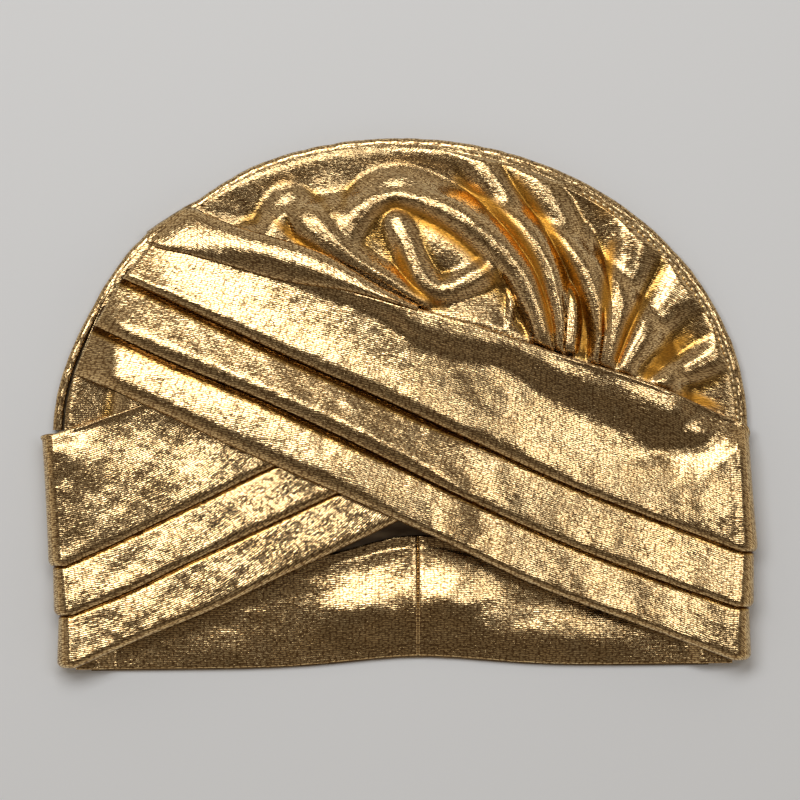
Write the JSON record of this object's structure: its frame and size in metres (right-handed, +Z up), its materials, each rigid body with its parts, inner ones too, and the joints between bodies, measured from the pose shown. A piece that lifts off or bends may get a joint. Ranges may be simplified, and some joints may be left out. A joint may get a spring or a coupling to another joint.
{
  "type": "hijab cap",
  "caption": "Pre-tied turban cap of gold knit, lying flat: crossed pleated wraps over the forehead, a gathered crown and an open head hollow.",
  "frame": {"origin": "centre of the cap's box on the surface it lies on", "axes": "+X to the right as seen from above with the crown away, +Y towards the crown's top, +Z up off the surface; the head opening faces -Y"},
  "size_m": [0.2594, 0.1916, 0.02],
  "materials": {
    "gold_knit": "metallic foil on a fine knit",
    "knit_inside": "matte wrong side of the knit"
  },
  "bodies": {
    "root": {"wrap_over": "gold_knit", "wrap_under": "gold_knit", "crown": "gold_knit", "crown_seam": "gold_knit", "top_pleat": "gold_knit", "nape_band_left": "gold_knit", "nape_band_right": "gold_knit", "back_panel": "knit_inside"}
  },
  "joints": []
}
